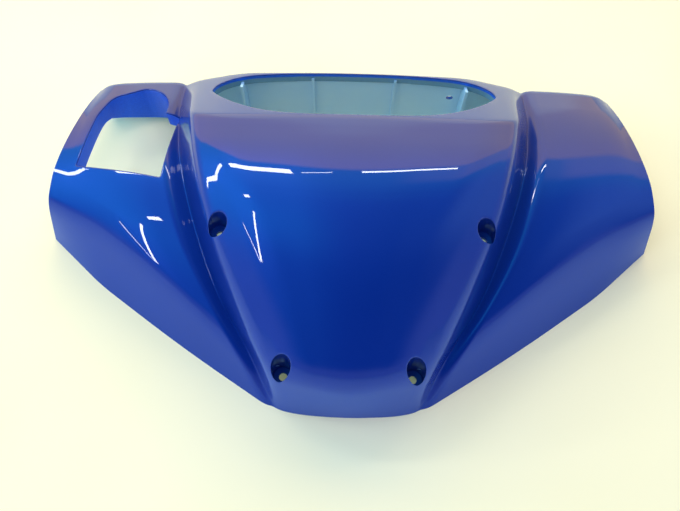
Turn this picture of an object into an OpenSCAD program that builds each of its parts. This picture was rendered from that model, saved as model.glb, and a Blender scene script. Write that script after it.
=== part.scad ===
// Front cover of a scooter handlebar, moulded in one piece.
// It lies on the rim of its open back, with its front face up: X runs along the handlebar,
// +Y is the cover's upper edge, and Z is the height above the rear rim.

/* [Moulding] */
// Wall of the moulding
wall = 2.5; // [2:0.1:3]
// Width over the two wings
width = 426; // [410:1:440]
/* [Meter opening] */
// Half of the opening's width
meter_half_x = 96; // [90:0.5:98]
// Reach of the opening below the line through its tips, seen from the front
meter_low = 33.2; // [30:0.2:34]
// Depth of the lip round the opening
meter_lip = 10; // [8:1:14]
/* [Screw seats] */
// Radius of the recess for a screw head
seat_r = 6.5; // [6:0.25:7]
// Radius of the screw hole
screw_r = 2.75; // [2.25:0.25:3.25]
/* [Hidden] */

// Sections of the front, each from the upper rim over the front to the lower rim.
// A corner is [x, y, z, length of the rounding on each side of it].
mid_line = [[0, 138, 0, 0], [0, 138, 60, 5], [0, 76, 107, 4], [0, 38, 121, 60],
            [0, -8, 117, 60], [0, -50, 97, 60], [0, -89, 63, 16], [0, -95, 0, 0]];
panel_crease = [[78, 137, 0, 0], [78, 137, 58, 5], [84, 77, 102, 4], [82, 44, 112, 60],
                [60, 4, 110, 60], [46, -34, 94, 60], [31, -82, 64, 14], [30, -93.5, 0, 0]];
bulge_edge = [[111, 135, 0, 0], [111, 134, 51, 5], [105, 82, 94, 4], [100, 50, 101, 60],
              [91, 14, 96, 60], [73, -28, 80, 60], [51, -75, 53, 14], [44, -91, 0, 0]];
seam = [[120, 134, 0, 0], [120, 134, 45, 5], [121, 104, 55, 8], [117, 66, 61, 60],
        [105, 23, 58, 60], [88, -22, 46, 60], [66, -56, 32, 60], [50, -88, 0, 0]];
wing_root = [[124, 136, 0, 0], [124, 136, 46, 6], [127, 100, 62, 30], [124, 62, 68, 60],
             [112, 14, 63, 60], [96, -19, 53, 60], [76, -54, 38, 60], [56, -86.5, 0, 0]];
wing_mid = [[150, 136, 0, 0], [150, 136, 46, 8], [152, 100, 62, 60], [152, 60, 67, 60],
            [145, 25, 63, 60], [133, 3, 57, 60], [124, -13, 50, 8], [116, -48, 0, 0]];
wing_outer = [[174, 136, 0, 0], [174, 136, 42, 6], [181, 100, 57, 60], [184, 68, 60, 60],
              [182, 47, 58, 60], [178, 34, 54, 60], [175, 23, 48, 8], [176, -5, 0, 0]];
wing_end = [[186, 135, 0, 0], [182, 134, 36, 6], [188, 112, 48, 60], [196, 84, 54, 60],
            [202, 61, 54, 60], [204, 48, 51, 60], [206, 38, 45, 8], [213, 29, 0, 0]];
sections = [mid_line, panel_crease, bulge_edge, seam, wing_root, wing_mid, wing_outer, wing_end];
// Rounding across each of those sections, and the points in it
section_round = [60, 12, 7, 1.2, 5, 60, 12, 0];
section_points = [5, 4, 4, 2, 4, 4, 4, 0];
// Points in the rounding at each corner of a section, and at a corner of the window
corner_points = [0, 3, 4, 4, 4, 4, 4, 0];
window_points = 4;

// Screw seats at the right, as [x, y, height of the seat's floor]; each has a mirror image
upper_seat = [82.5, 6, 76];
lower_seat = [42, -74, 31];
// Thickness of the seat's floor and of the wall round it
seat_floor = 3;
seat_wall = 1.8;
// The floor's disc stays this much inside the wall's outer face
disc_gap = 0.2;

// Line through the tips of the meter opening, and the opening's reach above it
meter_y = 112.4;
meter_high = 21.5;
// Powers of the outline: across, above the line and below it; a low one gives a pointed tip
power_x = 3.4;
power_high = 2.4;
power_low = 1.15;
// Angle between points of the outline
meter_turn = 7.5;
// Thickness of the lips; they start this far below the outer surface
lip_wall = 1.8;
lip_step = 0.4;

// Reservoir window in the wing at -X, as [x, y] corners and their roundings
window_corners = [[-176.9, 101], [-171.4, 112.2], [-150, 103], [-120.5, 100], [-127, 50], [-186, 60.5]];
window_round = [4, 1, 1, 2, 2.5, 2.5];
window_lip = 16;
// Notch for the mirror stem, between two circles
notch_right = [-146, 107];
notch_right_r = 17.7;
notch_left = [-158, 104.5];
notch_left_r = 15.5;
// The notch's lip gets deeper from this line on: height of the slope there, and its angle
notch_y = 104;
notch_top_z = 44;
notch_slope = 58;

// Ribs inside the rear wall, as [x, depth], their thickness and their distance below the surface
rear_rib_list = [[-78, 14], [-29, 3], [29, 3], [78, 14]];
rib_t = 1.8;
rib_top = 6;
// Inner face of the rear wall
rear_y = 135.3;
// Clip hole through the rear wall
clip_hole = [70, 136, 33];
clip_r = 2.5;

// The sections above give this width; the driving width stretches them
drawn_width = 426;
stretch = width / drawn_width;
// Middle of the rims, which becomes the origin
origin_y = 21.55;
// Numbers of the outermost section and of the last corner in a section
last = len(sections) - 1;
ends = len(mid_line) - 1;
// Length that reaches past the whole moulding when it is taken four times
over = 60;
// Sides of the round cutters, of the seats' discs and of their bores
seat_sides = 32;
clip_sides = 24;
disc_sides = 64;
bore_sides = 48;

// A section of the other half
function mirrored(s) = [for (p = s) [-p[0], p[1], p[2], p[3]]];
net = concat([for (i = [last : -1 : 1]) mirrored(sections[i])], sections);
function both_sides(v) = concat([for (i = [last : -1 : 1]) v[i]], v);
function xyz(p) = [p[0], p[1], p[2]];
cage = [for (s = net) [for (p = s) xyz(p)]];
cols = len(cage) - 1;

function unit(v) = v / norm(v);
// Outward normal of the cage's facet between four neighbouring corners
function facet(c, i, j) = unit(cross(c[i][j + 1] - c[i + 1][j], c[i + 1][j + 1] - c[i][j]));
function facets_at(c, i, j) = [for (a = [max(i - 1, 0) : min(i, cols - 1)],
                                    b = [max(j - 1, 0) : min(j, ends - 1)]) facet(c, a, b)];
function total(v, i = 0) = i == len(v) - 1 ? v[i] : v[i] + total(v, i + 1);
// Corner moved inwards so that its facets move by the wall; rims stay in their own planes
function inset(c, i, j, w) =
    let(n = facets_at(c, i, j), m = unit(total(n)), reach = total([for (f = n) f * m]) / len(n),
        d = -m * w / reach)
    c[i][j] + [i == 0 || i == cols ? 0 : d[0], d[1], j == 0 || j == ends ? 0 : d[2]];
function inner_cage(c, w) = [for (i = [0 : cols]) [for (j = [0 : ends]) inset(c, i, j, w)]];

function toward(a, b, d) = a + (b - a) * min(d / norm(b - a), 0.5);
function corner(a, c, b, d, n) =
    let(p = toward(c, a, d), q = toward(c, b, d))
    [for (k = [0 : n - 1]) let(t = (k + 0.5) / n) (1 - t) * (1 - t) * p + 2 * t * (1 - t) * c + t * t * q];
function rounded(path, d, n) =
    let(m = len(path) - 1)
    [path[0], for (i = [1 : m - 1]) each corner(path[i - 1], path[i], path[i + 1], d[i], n[i]), path[m]];
function rounded_ring(path, d) =
    let(m = len(path))
    [for (i = [0 : m - 1])
        each corner(path[(i + m - 1) % m], path[i], path[(i + 1) % m], d[i], window_points)];
// Grid of points: the sections rounded along, then rounded across
function smooth_grid(c) =
    let(lines = [for (i = [0 : cols]) rounded(c[i], [for (p = net[i]) p[3]], corner_points)],
        reach = both_sides(section_round), points = both_sides(section_points))
    [for (j = [0 : len(lines[0]) - 1]) rounded([for (l = lines) l[j]], reach, points)];

outer = smooth_grid(cage);
inner = smooth_grid(inner_cage(cage, wall));
rows = len(outer);
wide = len(outer[0]);

function quad(a, b, c, d) = [[a, b, c], [a, c, d]];
function grid_faces(at, flip) = [for (j = [0 : rows - 2], i = [0 : wide - 2])
    let(a = at + j * wide + i, b = a + 1, c = b + wide, d = a + wide)
    each flip ? quad(a, d, c, b) : quad(a, b, c, d)];

// Edge loop of a grid, as pairs of neighbouring points
border = concat([for (i = [0 : wide - 2]) [i, i + 1]],
                [for (j = [0 : rows - 2]) [j * wide + wide - 1, (j + 1) * wide + wide - 1]],
                [for (i = [wide - 1 : -1 : 1], a = (rows - 1) * wide) [a + i, a + i - 1]],
                [for (j = [rows - 1 : -1 : 1]) [j * wide, (j - 1) * wide]]);

// Closed shell between the outer and the inner surface
module skin() {
    n = rows * wide;
    polyhedron(concat([for (r = outer) each r], [for (r = inner) each r]),
               concat(grid_faces(0, false), grid_faces(n, true),
                      [for (e = border) each quad(e[1], e[0], e[0] + n, e[1] + n)]));
}

// Everything below the outer surface, lowered by a depth
module under(depth) {
    n = rows * wide;
    drop = [for (r = outer) for (p = r) p - [0, 0, depth]];
    foot = [for (e = border) [drop[e[0]][0], drop[e[0]][1], -over]];
    polyhedron(concat(drop, foot),
               concat(grid_faces(0, false),
                      [for (k = [0 : len(border) - 1]) let(l = (k + 1) % len(border))
                          each quad(border[k][1], border[k][0], n + k, n + l)],
                      [[for (k = [len(border) - 1 : -1 : 0]) n + k]]));
}

// Outline of the meter opening seen from the front, grown by a margin
function powered(value, power) = sign(value) * pow(abs(value), 2 / power);
module meter_outline(margin) {
    translate([0, meter_y])
        polygon([for (a = [0 : meter_turn : 359]) let(s = sin(a))
                 [(meter_half_x + margin) * powered(cos(a), power_x),
                  s > 0 ? (meter_high + margin) * powered(s, power_high)
                        : (meter_low + margin) * powered(s, power_low)]]);
}

// Lip that stands down from an opening, between the outer surface and a depth below it
module lip_below(depth) {
    intersection() {
        linear_extrude(3 * over) children();
        difference() {
            under(lip_step);
            under(depth);
        }
    }
}

module meter_lip_ring() {
    lip_below(meter_lip) difference() {
        meter_outline(lip_wall);
        meter_outline(0);
    }
}

// Outline of the reservoir window and of the notch for the mirror stem, grown by a margin
module window_outline(margin) {
    offset(delta = margin) union() {
        polygon(rounded_ring(window_corners, window_round));
        hull() {
            translate(notch_right) circle(notch_right_r);
            translate(notch_left) circle(notch_left_r);
        }
    }
}

// Lip of the window; in the notch it reaches down along a slope, nearly to the rim
module window_lip_ring() {
    difference() {
        intersection() {
            linear_extrude(3 * over) difference() {
                window_outline(lip_wall);
                window_outline(0);
            }
            under(lip_step);
        }
        intersection() {
            under(window_lip);
            translate([0, notch_y, notch_top_z]) rotate([-notch_slope, 0, 0])
                translate([-4 * over, -4 * over, -4 * over]) cube([8 * over, 8 * over, 4 * over]);
        }
    }
}

// Upright ribs inside the rear wall: two low ribs and two deeper gussets
module rear_ribs() {
    intersection() {
        for (r = rear_rib_list)
            translate([r[0] - rib_t / 2, rear_y - r[1], 0]) cube([rib_t, r[1] + wall / 2, over]);
        under(rib_top);
    }
}

// Wall of a screw seat, from below its floor up into the outer skin
module seat_wall_at(p) {
    intersection() {
        translate([p[0], p[1], p[2] - seat_floor / 2])
            cylinder(r = seat_r + seat_wall, h = 2 * over, $fn = seat_sides);
        under(lip_step);
    }
}

// The two pairs of screw seats, with the distance between them stretched
module at_seats(k) {
    for (p = [upper_seat, lower_seat], side = [-1, 1]) translate([k * side * p[0], p[1], p[2]]) children();
}

// Moulded body, sized along the handlebar
module moulding() {
    resize([width, 0, 0]) difference() {
        union() {
            difference() {
                skin();
                translate([0, 0, -over]) linear_extrude(4 * over) meter_outline(lip_wall / 2);
                translate([0, 0, -over]) linear_extrude(4 * over) window_outline(lip_wall / 2);
            }
            meter_lip_ring();
            window_lip_ring();
            rear_ribs();
            for (p = [upper_seat, lower_seat], side = [-1, 1]) seat_wall_at([side * p[0], p[1], p[2]]);
        }
        at_seats(1) translate([0, 0, -0.7 * seat_floor]) cylinder(r = seat_r, h = 2 * over, $fn = seat_sides);
        translate(clip_hole) rotate([90, 0, 0])
            cylinder(r = clip_r, h = 4 * wall, center = true, $fn = clip_sides);
    }
}

// Floor of a screw seat, with the true bore for the screw
module seat_floor_at() {
    difference() {
        translate([0, 0, -seat_floor])
            cylinder(r = seat_r + seat_wall - disc_gap, h = seat_floor, $fn = disc_sides);
        translate([0, 0, -2 * seat_floor]) cylinder(r = screw_r, h = 3 * seat_floor, $fn = bore_sides);
    }
}

module handlebar_cover() {
    color("royalblue") translate([0, -origin_y, 0]) union() {
        moulding();
        at_seats(stretch) seat_floor_at();
    }
}
handlebar_cover();
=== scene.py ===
import math

import bmesh
import bpy
from mathutils import Matrix, Vector
from mathutils.bvhtree import BVHTree


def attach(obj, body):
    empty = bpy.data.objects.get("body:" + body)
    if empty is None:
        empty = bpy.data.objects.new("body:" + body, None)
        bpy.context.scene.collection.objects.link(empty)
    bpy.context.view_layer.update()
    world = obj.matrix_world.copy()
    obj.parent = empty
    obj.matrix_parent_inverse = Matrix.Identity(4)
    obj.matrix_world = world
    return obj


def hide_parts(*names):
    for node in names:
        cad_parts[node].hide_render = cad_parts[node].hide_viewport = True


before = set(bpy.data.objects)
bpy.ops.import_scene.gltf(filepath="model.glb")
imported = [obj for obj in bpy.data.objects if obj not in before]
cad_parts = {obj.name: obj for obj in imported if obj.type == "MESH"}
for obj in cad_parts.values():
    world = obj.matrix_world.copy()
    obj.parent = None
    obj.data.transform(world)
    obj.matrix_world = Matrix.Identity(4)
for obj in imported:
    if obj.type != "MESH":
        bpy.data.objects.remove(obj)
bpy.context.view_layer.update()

# The outer form of the cover
# The cover is one injection moulding of plastic, whose front panel bulges between two swept wings.
# Eight sections from the upper rim to the lower rim, in millimetres, draw one half of it. Their corners
# are rounded along each section and then across the sections, and the other half is a mirror image.
MM = 0.001
wall = 2.5
origin_y = 21.55
mid_line = [(0, 138, 0), (0, 138, 60), (0, 76, 107), (0, 38, 121),
            (0, -8, 117), (0, -50, 97), (0, -89, 63), (0, -95, 0)]
panel_crease = [(78, 137, 0), (78, 137, 58), (84, 77, 102), (82, 44, 112),
                (60, 4, 110), (46, -34, 94), (31, -82, 64), (30, -93.5, 0)]
bulge_edge = [(111, 135, 0), (111, 134, 51), (105, 82, 94), (100, 50, 101),
              (91, 14, 96), (73, -28, 80), (51, -75, 53), (44, -91, 0)]
seam = [(120, 134, 0), (120, 134, 45), (121, 104, 55), (117, 66, 61),
        (105, 23, 58), (88, -22, 46), (66, -56, 32), (50, -88, 0)]
wing_root = [(124, 136, 0), (124, 136, 46), (127, 100, 62), (124, 62, 68),
             (112, 14, 63), (96, -19, 53), (76, -54, 38), (56, -86.5, 0)]
wing_mid = [(150, 136, 0), (150, 136, 46), (152, 100, 62), (152, 60, 67),
            (145, 25, 63), (133, 3, 57), (124, -13, 50), (116, -48, 0)]
wing_outer = [(174, 136, 0), (174, 136, 42), (181, 100, 57), (184, 68, 60),
              (182, 47, 58), (178, 34, 54), (175, 23, 48), (176, -5, 0)]
wing_end = [(186, 135, 0), (182, 134, 36), (188, 112, 48), (196, 84, 54),
            (202, 61, 54), (204, 48, 51), (206, 38, 45), (213, 29, 0)]
half = [mid_line, panel_crease, bulge_edge, seam, wing_root, wing_mid, wing_outer, wing_end]
# Length of the rounding at each corner of a section, on each side of the corner
reach_along = [[0, 5, 4, 60, 60, 60, 16, 0], [0, 5, 4, 60, 60, 60, 14, 0],
               [0, 5, 4, 60, 60, 60, 14, 0], [0, 5, 8, 60, 60, 60, 60, 0],
               [0, 6, 30, 60, 60, 60, 60, 0], [0, 8, 60, 60, 60, 60, 16, 0],
               [0, 6, 60, 60, 60, 60, 16, 0], [0, 6, 60, 60, 60, 60, 16, 0]]
reach_across = [60, 12, 7, 1.2, 5, 60, 12, 0]
# Points in each rounding and between one rounding and the next
arc_along = [0, 4, 6, 9, 9, 9, 7, 0]
gap_along = [7, 14, 2, 3, 3, 3, 8]
arc_across = [12, 7, 6, 4, 5, 9, 6, 0]
gap_across = [5, 5, 9, 1, 8, 6, 6]


def both_sides(values):
    """The values of one half, with their mirror image before them."""
    return values[:0:-1] + values


def section(points, side):
    return [Vector((side * x, y - origin_y, z)) * MM for x, y, z in points]


cage = [section(s, -1) for s in half[:0:-1]] + [section(s, 1) for s in half]
along = both_sides(reach_along)
columns = len(cage) - 1
rows = len(mid_line) - 1


def facet_normal(i, j):
    """Outward normal of the cage between four neighbouring corners."""
    return (cage[i][j + 1] - cage[i + 1][j]).cross(cage[i + 1][j + 1] - cage[i][j]).normalized()


def inset(i, j, depth):
    """A corner of the cage moved inwards so that its facets move by the depth."""
    around = [facet_normal(a, b) for a in range(max(i - 1, 0), min(i, columns - 1) + 1)
              for b in range(max(j - 1, 0), min(j, rows - 1) + 1)]
    mean = sum(around, Vector()).normalized()
    move = -mean * depth / (sum(n.dot(mean) for n in around) / len(around))
    if i in (0, columns):
        move.x = 0
    if j in (0, rows):
        move.z = 0
    return cage[i][j] + move


def rounded(path, reach, arcs, gaps):
    """The path with its corners rounded, and with points along its straight runs."""
    points = [path[0]]
    for k in range(1, len(path) - 1):
        a, c, b = path[k - 1], path[k], path[k + 1]
        p = c + (a - c) * min(reach[k] * MM / (a - c).length, 0.5)
        q = c + (b - c) * min(reach[k] * MM / (b - c).length, 0.5)
        arc = [p.lerp(c, t).lerp(c.lerp(q, t), t) for t in
               ((n + 0.5) / arcs[k] for n in range(arcs[k]))]
        points += [points[-1].lerp(arc[0], n / (gaps[k - 1] + 1)) for n in range(1, gaps[k - 1] + 1)]
        points += arc
    last = len(path) - 1
    points += [points[-1].lerp(path[last], n / (gaps[last - 1] + 1)) for n in range(1, gaps[last - 1] + 2)]
    return points


def smooth_grid(corners):
    """Rows of points: the sections rounded along, then rounded across."""
    lines = [rounded(line, along[i], arc_along, gap_along) for i, line in enumerate(corners)]
    arcs = both_sides(arc_across)
    gaps = gap_across[::-1] + gap_across
    across = both_sides(reach_across)
    return [rounded([line[j] for line in lines], across, arcs, gaps) for j in range(len(lines[0]))]


CLOSED_OFF = 1
closed_z = -60


def sheet(points, name, closing):
    """A solid whose upper faces are the given grid and whose other faces have the closing material."""
    bm = bmesh.new()
    bmesh.ops.create_grid(bm, x_segments=len(points[0]) - 1, y_segments=len(points) - 1, size=1)
    bm.verts.ensure_lookup_table()
    for vert, point in zip(bm.verts, (p for row in points for p in row)):
        vert.co = point
    border = [e for e in bm.edges if e.is_boundary]
    foot = bmesh.ops.extrude_edge_only(bm, edges=border)["geom"]
    sides = [f for f in foot if isinstance(f, bmesh.types.BMFace)]
    for vert in (v for v in foot if isinstance(v, bmesh.types.BMVert)):
        vert.co.z = closed_z * MM
    base = bmesh.ops.contextual_create(bm, geom=[e for e in bm.edges if e.is_boundary])["faces"]
    for face in sides + list(base):
        face.material_index = CLOSED_OFF
    bmesh.ops.recalc_face_normals(bm, faces=bm.faces)
    mesh = bpy.data.meshes.new(name)
    bm.to_mesh(mesh)
    bm.free()
    mesh.materials.append(None)
    mesh.materials.append(closing)
    obj = bpy.data.objects.new(name, mesh)
    bpy.context.collection.objects.link(obj)
    return obj


scratch = bpy.data.materials.new("scratch")
outer = sheet(smooth_grid(cage), "outer_form", scratch)
inner_cage = [[inset(i, j, wall * MM) for j in range(rows + 1)] for i in range(columns + 1)]
inner = sheet(smooth_grid(inner_cage), "inner_form", scratch)
# The front before it is cut, which tells how high it stands above a point of the rear rim
whole_front = BVHTree.FromPolygons([v.co for v in outer.data.vertices],
                                   [p.vertices for p in outer.data.polygons])

# The openings
# The moulding is open for the meter, for a fluid reservoir with a notch for the mirror's stem, for four
# screws and for one snap pin. Each opening is cut from the outer and the inner sheet, its edge is rolled
# over, and a lip or a well stands inwards from it and joins the two sheets.
meter_half_x = 96
meter_y = 112.4
meter_high = 21.5
meter_low = 33.2
power_x = 3.4
power_high = 2.4
power_low = 1.15
meter_lip = 10
rear_limit = 134.9
window_corners = [(-176.9, 101), (-171.4, 112.2), (-150, 103), (-120.5, 100), (-127, 50), (-186, 60.5)]
window_round = [4, 1, 1, 2, 2.5, 2.5]
window_middle = (-150, 85)
window_lip = 16
notch_circles = [((-158, 104.5), 15.5, 98, 270), ((-146, 107), 17.7, -90, 98)]
notch_y = 104
notch_top_z = 44
notch_slope = 58
lip_wall = 1.8
edge_roll = 1.0
sharp_angle = math.radians(42)
seat_roll = 0.9
seats = [(82.5, 6, 76), (42, -74, 31), (-82.5, 6, 76), (-42, -74, 31)]
seat_r = 6.5
seat_wall = 1.8
seat_floor = 3
seat_chamfer = 0.6
screw_r = 2.75
bore_chamfer = 0.3
clip_hole = (70, 136, 33)
clip_r = 2.5
rear_outer_y = 137.5
rear_inner_y = 134.5
# Points on the meter's oval, on an arc of the notch and on a corner of the window
oval_points = 120
notch_points = 30
corner_points = 6
# Points closer than this are one point, and a loop longer than this is the cover's outer rim
weld_gap = 0.03
longest_opening = 300
DOWN = Vector((0, 0, -1))
# Numbers of the finishes on the finished shell, after the glossy paint at 0
BARE = 1
OVERSPRAY = 2
# The mist finish is a dull teal whose darkness paints the shade under the meter's rim
MIST_AND_SHADE = 3


def place(x, y, z=0.0):
    return Vector((x, y - origin_y, z)) * MM


def circle(x, y, r, start=0, end=360, count=40):
    """Points along an arc, or round a whole circle, which doesn't repeat its first point."""
    steps = count if end - start == 360 else count - 1
    return [place(x + r * math.cos(a), y + r * math.sin(a)) for a in
            (math.radians(start + (end - start) * n / steps) for n in range(count))]


def meter_outline(margin):
    """Outline of the meter opening seen from the front, an oval with pointed tips."""
    points = []
    for n in range(oval_points):
        c, s = math.cos(math.tau * n / oval_points), math.sin(math.tau * n / oval_points)
        reach, power = (meter_high, power_high) if s > 0 else (meter_low, power_low)
        x = (meter_half_x + margin) * math.copysign(abs(c) ** (2 / power_x), c)
        y = meter_y + (reach + margin) * math.copysign(abs(s) ** (2 / power), s)
        points.append(place(x, min(y, rear_limit)))
    return points


def window_outlines(margin):
    """Outlines of the reservoir window and of the round notch at its upper side."""
    corners = [place(*c) for c in window_corners]
    window = []
    shares = [n / (corner_points - 1) for n in range(corner_points)]
    for k, c in enumerate(corners):
        a, b = (corners[k - 1] - c).normalized(), (corners[(k + 1) % len(corners)] - c).normalized()
        grown = c - (a + b) * margin * MM / a.cross(b).z
        p, q = grown + a * window_round[k] * MM, grown + b * window_round[k] * MM
        window += [p.lerp(grown, t).lerp(grown.lerp(q, t), t) for t in shares]
    notch = [p for (x, y), r, start, end in notch_circles
             for p in circle(x, y, r + margin, start, end, notch_points)]
    return [window[::-1], notch]


def prism(outline, low=-30, high=170):
    """An upright prism that cuts through a sheet."""
    bm = bmesh.new()
    ring = bmesh.ops.create_circle(bm, segments=len(outline), radius=1, cap_ends=True)["verts"]
    for vert, p in zip(ring, outline):
        vert.co = Vector((p.x, p.y, low * MM))
    top = bmesh.ops.extrude_face_region(bm, geom=list(bm.faces))["geom"]
    lifted = [v for v in top if isinstance(v, bmesh.types.BMVert)]
    bmesh.ops.translate(bm, vec=(0, 0, (high - low) * MM), verts=lifted)
    bmesh.ops.recalc_face_normals(bm, faces=bm.faces)
    return bm


def pin_cutter(length=20, sides=24):
    """A bar along Y through the rear wall, for the snap pin's hole."""
    bm = bmesh.new()
    bmesh.ops.create_cone(bm, cap_ends=True, segments=sides, radius1=clip_r * MM, radius2=clip_r * MM,
                          depth=length * MM)
    bmesh.ops.rotate(bm, cent=(0, 0, 0), matrix=Matrix.Rotation(math.pi / 2, 3, "X"), verts=bm.verts)
    bmesh.ops.translate(bm, vec=place(*clip_hole), verts=bm.verts)
    return bm


def cut(obj, cutters):
    """The sheet's upper faces with the cutters taken out of them, as a bmesh."""
    bm = bmesh.new()
    for cutter in cutters:
        mesh = bpy.data.meshes.new("cutter")
        cutter.to_mesh(mesh)
        bm.from_mesh(mesh)
    joined = bpy.data.meshes.new("cutters")
    bm.to_mesh(joined)
    joined.materials.append(scratch)
    tool = bpy.data.objects.new("cutters", joined)
    bpy.context.collection.objects.link(tool)
    modifier = obj.modifiers.new("cut", "BOOLEAN")
    modifier.operation = "DIFFERENCE"
    modifier.solver = "EXACT"
    modifier.use_self = True
    modifier.material_mode = "TRANSFER"
    modifier.object = tool
    done = obj.evaluated_get(bpy.context.evaluated_depsgraph_get())
    bm = bmesh.new()
    bm.from_mesh(done.to_mesh())
    bmesh.ops.delete(bm, geom=[f for f in bm.faces if f.material_index > 0], context="FACES")
    bmesh.ops.delete(bm, geom=[v for v in bm.verts if not v.link_faces], context="VERTS")
    bmesh.ops.remove_doubles(bm, verts=bm.verts, dist=weld_gap * MM)
    done.to_mesh_clear()
    for scrap in (obj, tool):
        bpy.data.objects.remove(scrap)
    return bm


def cutters(margin, seat_radius):
    """The cutters for every opening, wider than the true openings by a margin."""
    wells = [prism(circle(x, y, seat_radius)) for x, y, _ in seats]
    holes = [prism(o) for o in [meter_outline(margin)] + window_outlines(margin)]
    return holes + wells + [pin_cutter()]


shell = cut(outer, cutters(edge_roll, seat_r + seat_roll))
lining = cut(inner, cutters(lip_wall, seat_r + seat_wall))
for face in lining.faces:
    face.material_index = BARE
lining_mesh = bpy.data.meshes.new("lining")
lining.to_mesh(lining_mesh)
# What the rolled edges keep at each vertex: the way into the opening, and a curve's first two points
heading = shell.verts.layers.float_vector.new("heading")
start = shell.verts.layers.float_vector.new("start")
knee = shell.verts.layers.float_vector.new("knee")
shell.from_mesh(lining_mesh)


def boundary_loops(bm):
    """The open edges of a mesh as closed loops, each a list of vertices in order."""
    loops = []
    open_verts = {v for e in bm.edges if e.is_boundary for v in e.verts}
    while open_verts:
        loop = [open_verts.pop()]
        while True:
            nearby = [e.other_vert(loop[-1]) for e in loop[-1].link_edges if e.is_boundary]
            onward = [v for v in nearby if v in open_verts]
            if not onward:
                break
            loop.append(onward[0])
            open_verts.remove(onward[0])
        loops.append(loop)
    return loops


def loop_edges(loop):
    members = set(loop)
    return list({e for v in loop for e in v.link_edges if e.is_boundary and e.other_vert(v) in members})


def middle(loop):
    """Middle of the box round a loop, and the length of the box's diagonal."""
    low = Vector(min(v.co[k] for v in loop) for k in range(3))
    high = Vector(max(v.co[k] for v in loop) for k in range(3))
    return (low + high) / 2, (high - low).length


outer_loops, inner_loops = [], []
for loop in boundary_loops(shell):
    (inner_loops if loop[0].link_faces[0].material_index else outer_loops).append(loop)


def loop_at(loops, x, y):
    """The loop round the opening whose middle is nearest to a point seen from the front."""
    holes = [h for h in loops if middle(h)[1] < longest_opening * MM]
    return min(holes, key=lambda h: (middle(h)[0].xy - place(x, y).xy).length)


def aim(loop):
    """Stores at each vertex of a loop the level direction into the opening."""
    area = sum(a.co.xy.cross(b.co.xy) for a, b in zip(loop, loop[1:] + loop[:1]))
    for k, v in enumerate(loop):
        along_loop = loop[(k + 1) % len(loop)].co - loop[k - 1].co
        inward = Vector((-along_loop.y, along_loop.x, 0)).normalized()
        v[heading] = inward if area > 0 else -inward


def extrude(edges, move, finish=None):
    """Extrudes open edges once; move gives the place of each new vertex from the vertex itself."""
    made = bmesh.ops.extrude_edge_only(shell, edges=edges)["geom"]
    for part in made:
        if isinstance(part, bmesh.types.BMVert):
            part.co = move(part)
        elif isinstance(part, bmesh.types.BMFace) and finish is not None:
            part.material_index = finish
    return [e for e in made if isinstance(e, bmesh.types.BMEdge) and e.is_boundary]


def straight_in(distance):
    """A target for an edge's roll: the point this far into the opening."""
    return lambda v: v.co + v[heading] * distance * MM


def meter_target(v):
    """The meter outline is an oval that grows about its middle, so the target is a smaller oval."""
    middle_y = place(0, meter_y).y
    reach = meter_high if v.co.y > middle_y else meter_low
    return Vector((v.co.x * meter_half_x / (meter_half_x + edge_roll),
                   middle_y + (v.co.y - middle_y) * reach / (reach + edge_roll), 0))


def roll(loop, target, depth, steps=5):
    """Rolls the edge of an opening over, from the surface to straight down at the target."""
    aim(loop)
    for v in loop:
        inward = target(v) - v.co
        slope = -(v.normal.x * inward.x + v.normal.y * inward.y) / v.normal.z
        v[start] = v.co
        v[knee] = Vector((v.co.x + inward.x, v.co.y + inward.y, v.co.z + slope))
    edges = loop_edges(loop)
    for k in range(1, steps + 1):
        t = k / steps
        edges = extrude(edges, lambda v: v[start].lerp(v[knee], t).lerp(
            v[knee].lerp(v[knee] + DOWN * depth * MM, t), t))
    return edges


def bridge(edges, loop):
    bmesh.ops.bridge_loops(shell, edges=edges + loop_edges(loop))


shell.normal_update()
edges = roll(loop_at(outer_loops, 0, meter_y), meter_target, edge_roll)
# The lower two rings of the meter's lip take the teal that paints the shade under the rim
for finish in (OVERSPRAY, MIST_AND_SHADE, MIST_AND_SHADE):
    edges = extrude(edges, lambda v: v.co + DOWN * (meter_lip - edge_roll) * MM / 3, finish)


def rim_of_lip(v):
    """The lip is as thick as its wall, apart from the stretch that lies against the rear wall."""
    out = v.co - v[heading] * lip_wall * MM
    return Vector((out.x, min(out.y, place(0, rear_limit).y), out.z))


edges = extrude(edges, rim_of_lip, BARE)
bridge(edges, loop_at(inner_loops, 0, meter_y))


def lip_bottom(v):
    """Foot of the window's lip, which reaches down along a slope in the notch."""
    slope_z = notch_top_z * MM - (v.co.y - place(0, notch_y).y) * math.tan(math.radians(notch_slope))
    return max(min(v.co.z - (window_lip - edge_roll) * MM, slope_z), 0)


edges = roll(loop_at(outer_loops, *window_middle), straight_in(edge_roll), edge_roll)
edges = extrude(edges, lambda v: Vector((v.co.x, v.co.y, lip_bottom(v))), OVERSPRAY)
edges = extrude(edges, rim_of_lip)
bridge(edges, loop_at(inner_loops, *window_middle))


def on_circle(centre, radius, z):
    """A move onto a level circle about a screw seat."""
    def move(v):
        out = (v.co.xy - place(*centre).xy).normalized() * radius * MM
        return Vector((centre[0] * MM + out.x, place(*centre).y + out.y, z * MM))
    return move


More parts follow.
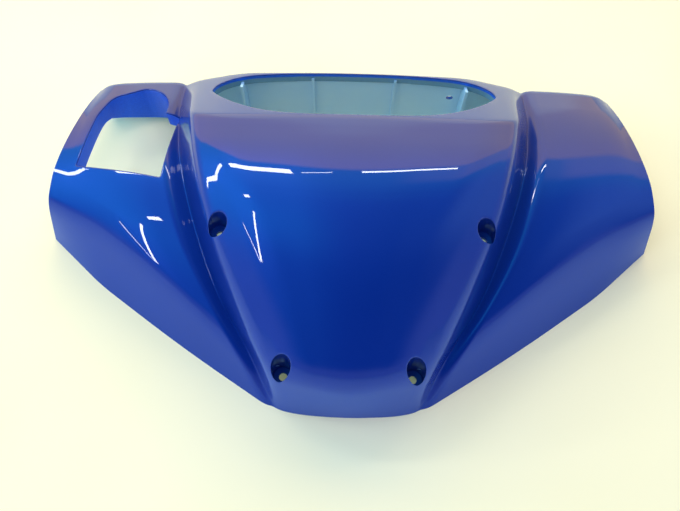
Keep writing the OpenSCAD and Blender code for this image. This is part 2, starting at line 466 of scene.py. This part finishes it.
for seat in seats:
    x, y, z = seat
    edges = roll(loop_at(outer_loops, x, y), straight_in(seat_roll), seat_roll)
    edges = extrude(edges, on_circle(seat, seat_r, z + seat_chamfer))
    edges = extrude(edges, on_circle(seat, seat_r - seat_chamfer, z))
    edges = extrude(edges, on_circle(seat, screw_r + bore_chamfer, z))
    edges = extrude(edges, on_circle(seat, screw_r, z - bore_chamfer))
    edges = extrude(edges, on_circle(seat, screw_r, z - seat_floor))
    edges = extrude(edges, on_circle(seat, seat_r + seat_wall, z - seat_floor))
    bridge(edges, loop_at(inner_loops, x, y))
pin_outer = loop_at(outer_loops, clip_hole[0], rear_outer_y)
pin_inner = loop_at(inner_loops, clip_hole[0], rear_inner_y)
bridge(loop_edges(pin_outer), pin_inner)
rim_outer, rim_inner = (max(loops, key=lambda h: middle(h)[1]) for loops in (outer_loops, inner_loops))
bridge(loop_edges(rim_outer), rim_inner)

# The ribs
# Two low ribs and two deeper gussets stiffen the rear wall from inside. Each is a flat plate that stands
# upright on the rear rim and ends a little below the top face.
rear_ribs = [(-78, 14), (-29, 3), (29, 3), (78, 14)]
rib_t = 1.8
rib_top = 6
rib_bite = 0.4
rib_steps = 8
rear_y = 135.3
over_everything = 1.0
for rib_x, depth in rear_ribs:
    plate = bmesh.new()
    bmesh.ops.create_grid(plate, x_segments=rib_steps, y_segments=1, size=1)
    for v in plate.verts:
        y = place(0, rear_y - depth * (1 - v.co.x) / 2 + rib_bite * (1 + v.co.x) / 2).y
        top = whole_front.ray_cast(Vector((rib_x * MM, y, over_everything)), DOWN)[0].z
        high = v.co.y > 0
        v.co = Vector(((rib_x - rib_t / 2) * MM, y, top - rib_top * MM if high else 0))
    side = bmesh.ops.extrude_face_region(plate, geom=list(plate.faces))["geom"]
    moved = [v for v in side if isinstance(v, bmesh.types.BMVert)]
    bmesh.ops.translate(plate, vec=(rib_t * MM, 0, 0), verts=moved)
    for face in plate.faces:
        face.material_index = BARE
    plate_mesh = bpy.data.meshes.new("rib")
    plate.to_mesh(plate_mesh)
    shell.from_mesh(plate_mesh)

bmesh.ops.recalc_face_normals(shell, faces=shell.faces)
mesh = bpy.data.meshes.new("cover_shell")
shell.to_mesh(mesh)
mesh.shade_smooth()
mesh.set_sharp_from_angle(angle=sharp_angle)
cover = bpy.data.objects.new("cover_shell", mesh)
bpy.context.collection.objects.link(cover)
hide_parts("handlebar_cover")
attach(cover, "root")

# The paint
# The front is sprayed with a blue metallic base coat that is tinted a deeper blue. A clear gloss lacquer
# lies over it, smooth apart from a faint ripple where it was sprayed.


class Socket:
    """A shader socket whose arithmetic adds Math nodes."""

    def __init__(self, tree, socket):
        self.tree, self.socket = tree, socket

    def math(self, operation, *values):
        return node(self.tree, "Math", {"operation": operation}, [self, *values])

    def __add__(self, other):
        return self.math("ADD", other)

    def __mul__(self, other):
        return self.math("MULTIPLY", other)

    __radd__ = __add__
    __rmul__ = __mul__


def node(tree, kind, settings=None, inputs=(), output=0):
    """A shader node with its settings, its inputs by number or name, and one of its outputs."""
    made = tree.nodes.new("ShaderNode" + kind)
    for name, value in (settings or {}).items():
        setattr(made, name, value)
    pairs = inputs.items() if isinstance(inputs, dict) else enumerate(inputs)
    for key, value in pairs:
        if isinstance(value, Socket):
            tree.links.new(value.socket, made.inputs[key])
        else:
            made.inputs[key].default_value = value
    return Socket(tree, made.outputs[output])


def mix(mask, first, second):
    """A colour between two others, by a mask."""
    first, second = ((*c, 1) if isinstance(c, tuple) else c for c in (first, second))
    return node(mask.tree, "Mix", {"data_type": "RGBA"}, {0: mask, 6: first, 7: second}, 2)


def new_material(name):
    material = bpy.data.materials.new(name)
    material.use_nodes = True
    material.node_tree.nodes.clear()
    return material, material.node_tree


def surface(tree, shader):
    output = tree.nodes.new("ShaderNodeOutputMaterial")
    tree.links.new(shader.socket, output.inputs["Surface"])


paint_deep = (0.003, 0.028, 0.26)
paint_bright = (0.005, 0.056, 0.42)
paint, tree = new_material("candy_blue_paint")
spot = node(tree, "TexCoord", output="Object")
flake = node(tree, "TexNoise", {}, {"Vector": spot, "Scale": 3500, "Detail": 1})
cloud = node(tree, "TexNoise", {}, {"Vector": spot, "Scale": 14, "Detail": 2})
peel = node(tree, "TexNoise", {}, {"Vector": spot, "Scale": 420, "Detail": 1})
tone = mix(flake * 0.6 + cloud * 0.4, paint_deep, paint_bright)
ripple = node(tree, "Bump", {}, {"Strength": 0.01, "Distance": 0.0004, "Height": peel})
surface(tree, node(tree, "BsdfPrincipled", {}, {
    "Base Color": tone, "Metallic": 0.45, "Roughness": 0.38 + flake * 0.08, "IOR": 1.45,
    "Specular IOR Level": 0.2, "Coat Weight": 1.0, "Coat Roughness": 0.01, "Coat IOR": 1.6,
    "Normal": ripple}))
mesh.materials.append(paint)

# The bare inside
# The back of the moulding and its ribs are the bare plastic, a pale blue that the spray hasn't reached.
# Its surface is as fine-grained as the mould's.
plastic_shade = (0.42, 0.72, 1.0)
plastic_light = (0.52, 0.80, 1.0)
plastic, tree = new_material("bare_plastic")
spot = node(tree, "TexCoord", output="Object")
grain = node(tree, "TexNoise", {}, {"Vector": spot, "Scale": 900, "Detail": 2})
spray = node(tree, "TexNoise", {}, {"Vector": spot, "Scale": 35, "Detail": 3})
tone = mix(spray, plastic_shade, plastic_light)
ripple = node(tree, "Bump", {}, {"Strength": 0.1, "Distance": 0.0003, "Height": grain})
surface(tree, node(tree, "BsdfPrincipled", {}, {
    "Base Color": tone, "Roughness": 0.35 + grain * 0.1, "Normal": ripple}))
mesh.materials.append(plastic)

# The overspray
# The lips of the openings stand in the lee of the spray gun. They got a thinner and less glossy coat of
# the same paint, and no lacquer to speak of.
overspray_deep = (0.004, 0.10, 0.72)
overspray_bright = (0.010, 0.17, 0.95)
thin_paint, tree = new_material("thin_blue_paint")
spot = node(tree, "TexCoord", output="Object")
grain = node(tree, "TexNoise", {}, {"Vector": spot, "Scale": 700, "Detail": 2})
tone = mix(grain, overspray_deep, overspray_bright)
surface(tree, node(tree, "BsdfPrincipled", {}, {
    "Base Color": tone, "Metallic": 0.3, "Roughness": 0.30 + grain * 0.1, "Specular IOR Level": 0.2,
    "Coat Weight": 0.1, "Coat Roughness": 0.05}))
mesh.materials.append(thin_paint)

# The mist
# Deeper on the meter's lip only a mist of paint settled on the plastic. The lip is coloured a dull teal,
# darker than the bare plastic, and this darkness is painted shade under the opening's rim.
mist_shade_deep = (0.10, 0.28, 0.46)
mist_shade_light = (0.17, 0.38, 0.52)
mist_and_shade, tree = new_material("paint_mist_and_shade")
spot = node(tree, "TexCoord", output="Object")
grain = node(tree, "TexNoise", {}, {"Vector": spot, "Scale": 500, "Detail": 3})
tone = mix(grain, mist_shade_deep, mist_shade_light)
surface(tree, node(tree, "BsdfPrincipled", {}, {"Base Color": tone, "Roughness": 0.45 + grain * 0.1}))
mesh.materials.append(mist_and_shade)

# The camera
# It looks down on the front of the cover, leaning back towards the lower rim and rolled a little, which
# is the angle that was fitted to the photograph.
cam = bpy.data.cameras.new("camera")
cam.lens = 44.9
camera = bpy.data.objects.new("camera", cam)
bpy.context.collection.objects.link(camera)
bpy.context.scene.camera = camera
camera_tilt = math.radians(20)
camera_roll = math.radians(1.4)
camera_distance = 0.548
aim_at = Vector((-0.007, -origin_y * MM, 0.060))
right = Vector((1, 0, 0))
up = Vector((0, math.cos(camera_tilt), math.sin(camera_tilt)))
back = Vector((0, -math.sin(camera_tilt), math.cos(camera_tilt)))
across = math.cos(camera_roll) * right + math.sin(camera_roll) * up
upward = math.cos(camera_roll) * up - math.sin(camera_roll) * right
camera.matrix_world = (Matrix.Translation(aim_at + camera_distance * back)
                       @ Matrix((across, upward, back)).transposed().to_4x4())

# The floor and the light
# A plain pale floor carries the cover. The light is dim overhead and paler behind the meter opening, and
# slim lamps draw the bright lines in the lacquer.
floor_shade = (0.96, 0.88, 0.56)
floor_light = (1.0, 0.94, 0.70)
# Painted shade: seen in the lacquer, the floor in front of the cover takes this dimmer blue
floor_painted_shade_in_reflection = (0.34, 0.48, 0.80)


def step(value, low, high):
    """A mask that rises smoothly from 0 to 1 between two values."""
    return node(value.tree, "MapRange", {"interpolation_type": "SMOOTHSTEP"}, {0: value, 1: low, 2: high})


floor_bm = bmesh.new()
bmesh.ops.create_grid(floor_bm, x_segments=1, y_segments=1, size=1.5)
floor_mesh = bpy.data.meshes.new("floor")
floor_bm.to_mesh(floor_mesh)
floor = bpy.data.objects.new("floor", floor_mesh)
bpy.context.collection.objects.link(floor)
pale_floor, tree = new_material("pale_floor")
spot = node(tree, "TexCoord", output="Object")
waves = node(tree, "TexNoise", {}, {"Vector": spot, "Scale": 5, "Detail": 2})
# Painted shade in the reflection: for glossy rays the floor's front part is mixed towards the dimmer blue
painted_shade_front_mask = step(node(tree, "SeparateXYZ", {}, [spot], 1), 0.16, -0.02)
glossy = node(tree, "LightPath", output="Is Glossy Ray")
tone = mix(painted_shade_front_mask * glossy, mix(waves, floor_shade, floor_light), floor_painted_shade_in_reflection)
ripple = node(tree, "Bump", {}, {"Strength": 0.15, "Distance": 0.01, "Height": waves})
surface(tree, node(tree, "BsdfPrincipled", {}, {"Base Color": tone, "Roughness": 0.9, "Normal": ripple}))
floor_mesh.materials.append(pale_floor)

world = bpy.data.worlds.new("studio")
bpy.context.scene.world = world
world.use_nodes = True
tree = world.node_tree
tree.nodes.clear()
direction = node(tree, "TexCoord", output="Generated")
dx = node(tree, "SeparateXYZ", {}, [direction], 0)
dy = node(tree, "SeparateXYZ", {}, [direction], 1)
dz = node(tree, "SeparateXYZ", {}, [direction], 2)
# From bright at the left to dark and to a paler blue at the right, then darker towards the lower rim,
# paler along the horizon, and a warm glow beyond the upper rim, which the top face mirrors
sky = mix(step(dx, -0.75, 0.05), (0.03, 0.85, 1.45), (0.01, 0.03, 0.18))
sky = mix(step(dx, 0.30, 0.80), sky, (0.22, 0.46, 0.85))
sky = mix(step(dy, 0.1, 0.5) * 0.6, sky, (0.02, 0.75, 1.0))
sky = mix(step(dy, -0.1, -0.6) * 0.85, sky, (0.0, 0.01, 0.20))
sky = mix(step(dz, 0.40, 0.10) * 0.7, sky, (0.28, 0.36, 0.80))
sky = mix(step(dy, 0.33, 0.42) * step(dx, 0.15, 0.45) * 0.5, sky, (1.4, 0.95, 0.8))
glow_high = mix(step(dx, 0.2, 0.8), (1.85, 1.50, 0.65), (1.75, 1.10, 0.30))
glow = mix(step(dy, 0.90, 0.94), (1.60, 1.05, 0.20), glow_high)
sky = mix(step(dy, 0.53, 0.58), sky, glow)
backdrop = (0.93, 0.90, 0.78)
sky = mix(node(tree, "LightPath", output="Is Camera Ray"), sky, backdrop)
shade = node(tree, "Background", {}, {"Color": sky, "Strength": 1.0})
world_output = tree.nodes.new("ShaderNodeOutputWorld")
tree.links.new(shade.socket, world_output.inputs["Surface"])


def lamp(name, start_dir, end_dir, width, radiance, color=(1, 1, 1), distance=1.2, base=(0, 0, 0.1)):
    """A slim lamp seen from the cover between two directions; its power gives the stated radiance."""
    ends = [Vector(d).normalized() * distance for d in (start_dir, end_dir)]
    centre = (ends[0] + ends[1]) / 2
    light = bpy.data.lights.new(name, "AREA")
    light.shape = "RECTANGLE"
    light.size, light.size_y = (ends[1] - ends[0]).length, width
    light.energy = radiance * math.pi * light.size * width
    light.color = color
    obj = bpy.data.objects.new(name, light)
    bpy.context.collection.objects.link(obj)
    away, long_axis = centre.normalized(), (ends[1] - ends[0]).normalized()
    away = (away - long_axis * away.dot(long_axis)).normalized()
    turn = Matrix((long_axis, away.cross(long_axis), away)).transposed().to_4x4()
    obj.matrix_world = Matrix.Translation(centre + Vector(base)) @ turn
    obj.visible_camera = False
    return obj


# Each slim lamp stands where a bright line in the lacquer mirrors it; the two wide ones light the floor
# and the cover softly and aren't mirrored
lamp("tube_a", (-0.26, 0.47, 0.84), (-0.62, 0.36, 0.70), 0.07, 18)
lamp("tube_b", (-0.22, 0.47, 0.85), (-0.08, 0.51, 0.85), 0.012, 12)
lamp("tube_c", (0.05, 0.53, 0.85), (0.35, 0.52, 0.78), 0.025, 18)
lamp("tube_d", (-0.62, -0.16, 0.77), (-0.77, -0.52, 0.38), 0.03, 18)
lamp("tube_f", (-0.85, -0.30, 0.44), (-0.78, -0.52, 0.36), 0.014, 18)
lamp("tube_g", (-0.43, -0.03, 0.90), (-0.31, 0.01, 0.95), 0.010, 18, distance=0.33, base=(-0.12, 0, 0.06))
lamp("tube_e", (-0.96, -0.01, 0.28), (-0.76, 0.30, 0.58), 0.05, 16)
fill = lamp("fill", (-0.38, -0.15, 1.0), (0.32, -0.15, 1.0), 0.8, 3.7, (1.0, 0.91, 0.82))
fill.visible_glossy = False
back_light = lamp("back_light", (-0.8, 0.9, 0.7), (0.8, 0.9, 0.7), 0.6, 1.6, distance=1.39)
back_light.visible_glossy = False
bpy.context.scene.view_settings.view_transform = "Standard"
